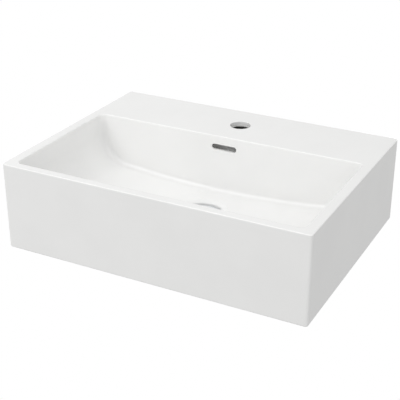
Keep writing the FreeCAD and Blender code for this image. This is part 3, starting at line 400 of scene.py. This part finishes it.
# ---------------------------------------------------------------- Plug and its click mechanism
# A crowned chromed cap screwed on a turned brass stem, which slides in a brass guide. A moulded acetal rotor
# and a coiled steel spring under it hold the plug up or down at each press.
# Brass: yellow, with rings left by the turning tool. Spring wire: grey, drawn lengthwise.
# Acetal: off-white, half matt, with a faint flow tone.
finish_node("plug_cap", chrome)
turned_brass = add_metal("turned_brass", "B8934A", "CFAE66", 0.22, 0.42, 120.0, 900.0, (0.1, 0.1, 3),
                         0.00001)
for name in ("plug_stem", "click_guide", "stud_lock_nut"):
    finish_node(name, turned_brass)
spring_wire = add_metal("drawn_spring_steel", "77797C", "93969A", 0.3, 0.5, 300.0, 2500.0, (1, 1, 3), 0.000008)
finish_node("click_spring", spring_wire)


def add_plastic(name, dark, light, low_rough, high_rough, flow, texture, relief_depth):
    """A moulded plastic with a faint flow tone and a fine mould texture."""
    material, tree, place = new_material(name)
    clouds = add_node(tree, "ShaderNodeTexNoise", {"Vector": place, "Scale": flow, "Detail": 3.0})
    spark = add_node(tree, "ShaderNodeTexNoise", {"Vector": place, "Scale": texture, "Detail": 2.0})
    ramp = add_node(tree, "ShaderNodeValToRGB", {"Fac": clouds.outputs["Fac"]})
    ramp.color_ramp.elements[0].position = 0.3
    ramp.color_ramp.elements[0].color = linear(dark)
    ramp.color_ramp.elements[1].position = 0.7
    ramp.color_ramp.elements[1].color = linear(light)
    rough = add_node(tree, "ShaderNodeMapRange", {"Value": spark.outputs["Fac"], "To Min": low_rough,
                                                  "To Max": high_rough})
    bump = add_node(tree, "ShaderNodeBump", {"Height": spark.outputs["Fac"], "Strength": 0.35,
                                             "Distance": relief_depth})
    plastic = add_node(tree, "ShaderNodeBsdfPrincipled", {"Base Color": ramp.outputs["Color"], "IOR": 1.5,
                                                          "Roughness": rough.outputs["Result"],
                                                          "Normal": bump.outputs["Normal"]})
    add_node(tree, "ShaderNodeOutputMaterial", {"Surface": plastic.outputs[0]})
    return material


acetal = add_plastic("moulded_acetal", "DEDCD4", "EAE8E1", 0.35, 0.5, 120.0, 1800.0, 0.00002)
finish_node("click_rotor", acetal)


# ---------------------------------------------------------------- Stud
# An M8 brass stud with its thread rolled all along, screwed up into the guide and down through the spider's hub.
stud_low, stud_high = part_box("plug_stud")
stud_crest = 0.00398
stud_thread_depth = 0.00077
stud_pitch = 0.00125
end_trim = 0.0001
stud = threaded_rod("plug_stud_threaded", stud_crest, stud_thread_depth, stud_pitch, stud_low[2] + end_trim,
                    stud_high[2] - end_trim, steps=32)
stud.data.transform(waste_axis)
finish_piece(stud, "basin_set", "plug_stud", turned_brass)


# ---------------------------------------------------------------- Back nut and slip washer
# A big brass hexagon that draws the waste down, on a thin acetal washer that lets it turn against the seal.
finish_node("slip_washer", acetal)
finish_node("back_nut", turned_brass)


# ---------------------------------------------------------------- Wall fixings
# Two M10 hanger bolts in ribbed nylon wall plugs, each with a nylon bush, a washer and a nut.
# Zinc plate: bluish grey with a cloudy bloom. Nylon: half matt, white for the bush and grey for the plug.
zinc = add_metal("zinc_plated_steel", "A9ADB1", "C6CACD", 0.25, 0.45, 220.0, 1400.0, (1, 1, 1), 0.00001)
white_nylon = add_plastic("moulded_white_nylon", "E6E4DC", "F0EEE8", 0.4, 0.55, 100.0, 1500.0, 0.00003)
grey_nylon = add_plastic("moulded_grey_nylon", "7F8386", "93979A", 0.45, 0.6, 100.0, 1500.0, 0.00003)

# One bolt along Z, point up, then turned to lie along +Y: machine thread from the nut's side to just behind the
# wall's face, plain neck, and a coarse wood thread that runs out at the point.
bolt_low, bolt_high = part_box("hanger_bolt_left")
neck = 0.0085
bolt_crest = 0.00496
bolt_thread_depth = 0.00092
bolt_pitch = 0.0015
wood_pitch = 0.0036
point_length = 0.009
machine = threaded_rod("bolt_machine_thread", bolt_crest, bolt_thread_depth, bolt_pitch,
                       bolt_low[1] + 0.0002, neck, steps=40)
wood_line = draw_line("bolt_wood_thread", [(r, 0, neck - 1.25 * wood_pitch + h * wood_pitch) for r, h in
                                           ((0.0029, 0), (0.0029, 0.35), (0.0039, 0.5), (0.0029, 0.65),
                                            (0.0029, 1))])
wood = sweep(wood_line, 32, wood_pitch, 18)
for vertex in wood.data.vertices:
    left = max(bolt_high[1] - 0.0002 - vertex.co.z, 0.0)
    if left < point_length:
        shrink = max(left / point_length, 0.02)
        vertex.co.x *= shrink
        vertex.co.y *= shrink
bpy.ops.object.select_all(action="DESELECT")
wood.select_set(True)
bpy.context.view_layer.objects.active = wood
bpy.ops.object.mode_set(mode="EDIT")
bpy.ops.mesh.select_all(action="SELECT")
bpy.ops.mesh.bisect(plane_co=(0, 0, neck - 0.0005), plane_no=(0, 0, 1), use_fill=True, clear_inner=True)
bpy.ops.mesh.select_all(action="SELECT")
bpy.ops.mesh.bisect(plane_co=(0, 0, bolt_high[1] - 0.0004), plane_no=(0, 0, 1), use_fill=True,
                    clear_outer=True)
bpy.ops.mesh.select_all(action="SELECT")
bpy.ops.mesh.normals_make_consistent(inside=False)
bpy.ops.object.mode_set(mode="OBJECT")
bpy.ops.object.select_all(action="DESELECT")
wood.select_set(True)
machine.select_set(True)
bpy.context.view_layer.objects.active = machine
bpy.ops.object.join()

# One wall plug along Z: a plain collar, barbed ribs 5 mm apart, the bolt's bore, and a slit half its length.
plug_low, plug_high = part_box("wall_plug_left")
plug_outer = 0.00698
plug_length = plug_high[1] - plug_low[1]
profile = [(0.00405, plug_length - 0.0001), (0.0055, plug_length - 0.0001), (plug_outer, plug_length - 0.003)]
rib = plug_length - 0.006
while rib > 0.009:
    profile += [(plug_outer, rib), (0.0061, rib - 0.0003), (plug_outer, rib - 0.0042)]
    rib -= 0.005
profile += [(plug_outer, 0.0011), (0.0061, 0.0001), (0.00506, 0.0001), (0.00506, 0.0085), (0.00405, 0.0085),
            (0.00405, plug_length - 0.0001)]
plug = sweep(draw_line("wall_plug_ribbed", [(r, 0, h) for r, h in profile]), 48)
bpy.ops.object.select_all(action="DESELECT")
bpy.ops.mesh.primitive_cube_add(size=1, location=(0, 0, plug_length * 0.76))
slit = bpy.context.object
slit.scale = (0.0016, 0.02, plug_length * 0.52)
bpy.ops.object.transform_apply()
cut(plug, slit)

for side, word in ((-1, "left"), (1, "right")):
    to_fixing = Matrix.Translation((side * 0.14, 0, 0)) @ Matrix.Rotation(math.radians(-90), 4, "X")
    for source, kind, slot, material in ((machine, "hanger_bolt", "zinc_steel", zinc),
                                         (plug, "wall_plug", "grey_nylon", grey_nylon)):
        piece = bpy.data.objects.new(f"{kind}_detailed_{word}", source.data.copy())
        bpy.context.scene.collection.objects.link(piece)
        piece.data.transform(to_fixing)
        finish_piece(piece, "basin_set", f"{kind}_{word}", material)
    finish_node(f"fixing_bush_{word}", white_nylon)
    finish_node(f"fixing_washer_{word}", zinc)
    finish_node(f"fixing_nut_{word}", zinc)
for spare in (machine, plug):
    bpy.data.objects.remove(spare)
